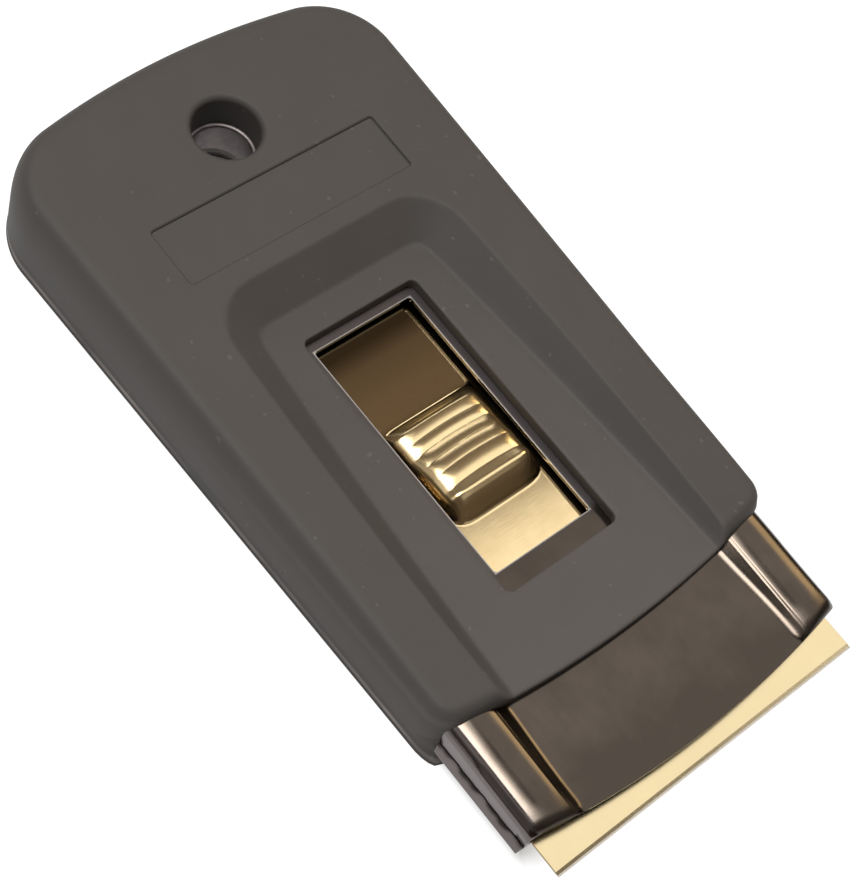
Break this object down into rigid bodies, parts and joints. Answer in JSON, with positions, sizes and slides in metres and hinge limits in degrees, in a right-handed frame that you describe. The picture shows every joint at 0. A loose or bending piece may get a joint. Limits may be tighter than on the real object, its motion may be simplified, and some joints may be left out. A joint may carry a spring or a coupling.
{
  "type": "retractable razor blade scraper",
  "caption": "Pocket scraper for a single-edge razor blade: ribbed thumb slide in a plated case, soft rubber grip sleeve with a hang hole.",
  "frame": {"origin": "middle of the footprint, on the flat back of the sleeve", "axes": "+X towards the blade, +Z out of the thumb face, +Y across the scraper"},
  "size_m": [0.0856, 0.0444, 0.01],
  "materials": {
    "grip_rubber": "matte moulded grey rubber",
    "dark_plating": "polished dark nickel plating on steel sheet",
    "carrier_brass": "polished brass",
    "blade_gold": "gold-coloured coating on blade steel",
    "spring_steel": "bright spring steel"
  },
  "bodies": {
    "handle": {"grip_sleeve": "grip_rubber", "case_upper": "dark_plating", "case_lower": "dark_plating", "hang_eyelet": "dark_plating"},
    "slide": {"blade_carrier": "carrier_brass", "detent_spring": "spring_steel", "rivet_left": "spring_steel", "rivet_right": "spring_steel", "razor_blade": "blade_gold", "blade_spine": "blade_gold"}
  },
  "joints": [
    {"name": "blade_slide", "type": "slide", "parent": "handle", "child": "slide", "axis": [1, 0, 0], "range_m": [-0.0099, 0.0051]}
  ]
}
